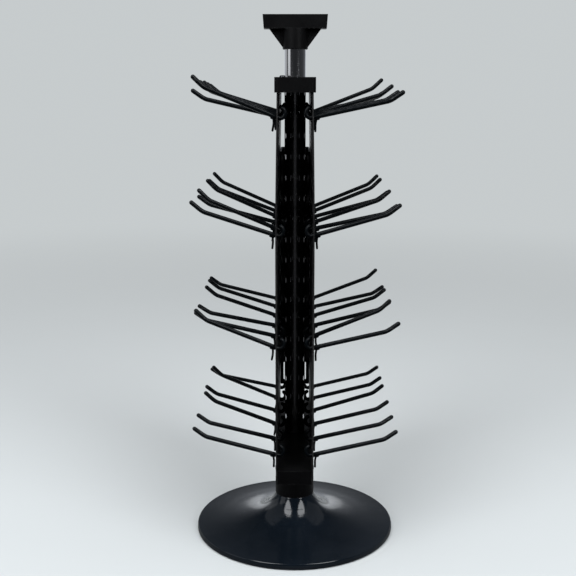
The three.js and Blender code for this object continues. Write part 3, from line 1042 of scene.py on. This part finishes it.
# ---- sign holder ----
def sign_holder_moulding():
    """A block with a card slot along its top, on a round socket with a gusset to each side."""
    depth = 11 * MM
    block_bottom = SIGN_BOTTOM + 23.6 * MM
    foot = SIGN_HALF_WIDTH - 1.2 * MM
    gusset_bottom = SIGN_BOTTOM + 2.6 * MM
    gusset = 31.5 * MM
    sunk = block_bottom + 1 * MM   # the gussets' tops, inside the block
    head = prism("sign_holder_moulding", [(-foot, block_bottom), (foot, block_bottom),
                                          (SIGN_HALF_WIDTH, SIGN_TOP), (-SIGN_HALF_WIDTH, SIGN_TOP)],
                 "y", -depth, depth)
    web = prism("web", [(-gusset + 1 * MM, sunk), (-SOCKET_RADIUS + 1 * MM, gusset_bottom + 1 * MM),
                        (SOCKET_RADIUS - 1 * MM, gusset_bottom + 1 * MM), (gusset - 1 * MM, sunk)],
                "y", -1.6 * MM, 1.6 * MM)
    flanges = []
    for sign in (-1, 1):
        top_x, low_x = sign * gusset, sign * SOCKET_RADIUS
        inset = -sign * 2.4 * MM
        flanges.append(prism("flange", [(top_x, sunk), (low_x, gusset_bottom), (low_x + inset, gusset_bottom),
                                        (low_x + inset, gusset_bottom + 2 * MM), (top_x + inset * 1.2, sunk)],
                             "y", -3 * MM, 3 * MM))
    socket_top = SIGN_BOTTOM + 24 * MM
    socket = turned("socket", [(0, SIGN_BOTTOM), (SOCKET_RADIUS - 0.7 * MM, SIGN_BOTTOM),
                               (SOCKET_RADIUS, SIGN_BOTTOM + 0.7 * MM), (SOCKET_RADIUS, socket_top),
                               (0, socket_top)], segments=96)
    combine(head, [web] + flanges + [tidy(socket)], "UNION")
    bore = rod("bore", BORE_RADIUS, SIGN_BOTTOM - 5 * MM, POLE_TOP + 0.5 * MM)
    slot = block("slot", (-2 * SIGN_HALF_WIDTH, -1.5 * MM, SIGN_TOP - 12 * MM),
                 (2 * SIGN_HALF_WIDTH, 1.5 * MM, SIGN_TOP + 5 * MM))
    combine(head, [bore, slot], "DIFFERENCE")
    ease_edges(head, 0.5 * MM, 3, 40)
    dress(head, 40, BLACK_PLASTIC, "sign", "black_plastic", "sign_holder")


sign_holder_moulding()


# ---- floor, world and lights ----
# Both the floor and the world are plain and pale to the camera. To other rays they are the room that
# the rack reflects: dark above and in front, and bright low down behind it. On the floor those dark
# parts are painted shade, a dark glow in place of the paper.
BACKDROP = (0.568, 0.600, 0.610)
ROOM_SHADE = (0.018, 0.0185, 0.020)
FLOOR_HALF = 60.0


def floor():
    """Pale paper, lit near the rack; far away it glows as the backdrop does, so no horizon shows. To rays
    that don't come from the camera it shows painted shade in front of the rack, close beside it and far
    off at the sides: a dark glow in place of the paper.
    """
    corners = [(x * FLOOR_HALF, y * FLOOR_HALF, 0) for x, y in ((-1, -1), (1, -1), (1, 1), (-1, 1))]
    obj = to_object("floor", corners, [(0, 1, 2, 3)])
    n = Surface("floor_paper", Roughness=0.9, Specular_IOR_Level=0.1)
    tone = n.mix(n.noise(3, 3), (0.595, 0.62, 0.625), (0.615, 0.64, 0.645))
    n.bump((n.noise(700, 3), 0.00005))

    def emission(colour):
        node = n.add("ShaderNodeEmission")
        node.inputs["Color"].default_value = (*colour, 1)
        return node.outputs[0]

    def blend(factor, a, b):
        node = n.add("ShaderNodeMixShader")
        n.link(factor, node.inputs["Fac"])
        n.link(a, node.inputs[1])
        n.link(b, node.inputs[2])
        return node.outputs[0]

    length = n.add("ShaderNodeVectorMath", operation="LENGTH")
    n.link(n.place, length.inputs[0])
    reach = length.outputs["Value"]
    split = n.add("ShaderNodeSeparateXYZ")
    n.link(n.place, split.inputs[0])
    y = split.outputs["Y"]
    paper = blend(n.ramp(reach, 0.5, 3.0), n.shader.outputs[0], emission(BACKDROP))
    # Painted shade: where these masks reach, rays that don't come from the camera see a dark glow, not the
    # paper. The ring close beside the rack stands in for its contact shade.
    in_front = n.ramp(y, -0.105, -0.165)
    close = n.times(n.ramp(reach, 0.17, 0.30, 0.8, 0.0), n.ramp(y, 0.10, 0.0))
    beside = n.ramp(n.math("DIVIDE", y, reach), 0.93, 0.78)
    distant = n.times(n.ramp(reach, 0.45, 0.95, 0.0, 0.93), beside)
    painted_shade = n.math("MAXIMUM", in_front, n.math("MAXIMUM", close, distant))
    unseen = n.math("SUBTRACT", 1.0, n.add("ShaderNodeLightPath").outputs["Is Camera Ray"])
    shaded = blend(n.times(painted_shade, unseen), paper, emission(ROOM_SHADE))
    n.link(shaded, n.tree.nodes["Material Output"].inputs["Surface"])
    obj.data.materials.append(n.finish(tone))


def world():
    """The backdrop to the camera, and the room to every other ray."""
    made = bpy.data.worlds.new("studio")
    made.use_nodes = True
    n = Nodes(made.node_tree)

    def ramp(source, stops):
        """Each stop is a position from 0 to 1 and how bright the room is there."""
        node = n.add("ShaderNodeValToRGB")
        n.link(source, node.inputs["Fac"])
        elements = node.color_ramp.elements
        while len(elements) < len(stops):
            elements.new(0.5)
        for element, (position, level) in zip(elements, stops):
            element.position = position
            element.color = (level, level * 1.03, level * 1.07, 1)
        return node.outputs["Color"]

    split = n.add("ShaderNodeSeparateXYZ")
    n.link(n.add("ShaderNodeTexCoord").outputs["Generated"], split.inputs[0])
    front_to_back = n.add("ShaderNodeMapRange")
    front_to_back.inputs["From Min"].default_value = -1.0
    n.link(split.outputs["Y"], front_to_back.inputs["Value"])
    by_height = ramp(split.outputs["Z"], ((0.0, 0.80), (0.16, 0.56), (0.38, 0.21), (0.50, 0.09), (1.0, 0.08)))
    by_depth = ramp(front_to_back.outputs["Result"],
                    ((0.0, 0.035), (0.50, 0.075), (0.80, 0.18), (0.93, 0.80), (1.0, 1.0)))
    room = n.mix(1.0, by_height, by_depth, "MULTIPLY")
    seen = n.add("ShaderNodeLightPath").outputs["Is Camera Ray"]
    n.link(n.mix(seen, room, BACKDROP), n.tree.nodes["Background"].inputs["Color"])
    bpy.context.scene.world = made


def sun(name, power, width):
    """A broad light from straight above, which leaves no reflection."""
    data = bpy.data.lights.new(name, "SUN")
    data.energy = power
    data.angle = math.radians(width)
    obj = bpy.data.objects.new(name, data)
    obj.visible_glossy = False
    bpy.context.scene.collection.objects.link(obj)


def softbox(name, azimuth, elevation, distance, size, power, aim=0.05, shape="RECTANGLE", diffuse=True):
    """An area light that faces the pole's axis at the height aim. Azimuth 0 is in front, towards -Y,
    and 90 is at +X. Without diffuse it shows in reflections only."""
    data = bpy.data.lights.new(name, "AREA")
    data.shape = shape
    data.size, data.size_y = size
    data.energy = power
    data.color = (0.95, 0.975, 1.0)
    obj = bpy.data.objects.new(name, data)
    a, e = math.radians(azimuth), math.radians(elevation)
    place = Vector((math.sin(a) * math.cos(e), -math.cos(a) * math.cos(e), math.sin(e))) * distance
    obj.location = place + Vector((0, 0, aim))
    obj.rotation_euler = (-place).to_track_quat("-Z", "Y").to_euler()
    obj.visible_camera = False
    obj.visible_diffuse = diffuse
    bpy.context.scene.collection.objects.link(obj)


WINDOW = {"elevation": 44, "distance": 2.9, "size": (1.3, 3.0), "power": 62, "shape": "ELLIPSE"}
WALL = {"elevation": 42, "distance": 3.4, "size": (3.8, 3.2), "power": 9}
LOW_CARD = {"elevation": 4, "distance": 2.3, "size": (1.45, 0.6), "power": 1.6, "aim": 0.12,
            "shape": "ELLIPSE", "diffuse": False}

floor()
world()
sun("sky", power=1.02, width=70)
softbox("window_left", -37, **WINDOW)
softbox("window_right", 37, **WINDOW)
softbox("card_left", -68, elevation=6, distance=2.4, size=(1.2, 0.9), power=2.6, aim=0.45)
softbox("card_rear", -118, elevation=6, distance=2.4, size=(2.0, 0.9), power=2.1, aim=0.45)
softbox("low_left", -157, **LOW_CARD)
softbox("low_right", 157, **LOW_CARD)
softbox("side_right", 100, **WALL)
softbox("side_left", -100, **WALL)
bpy.context.scene.view_settings.view_transform = "Standard"
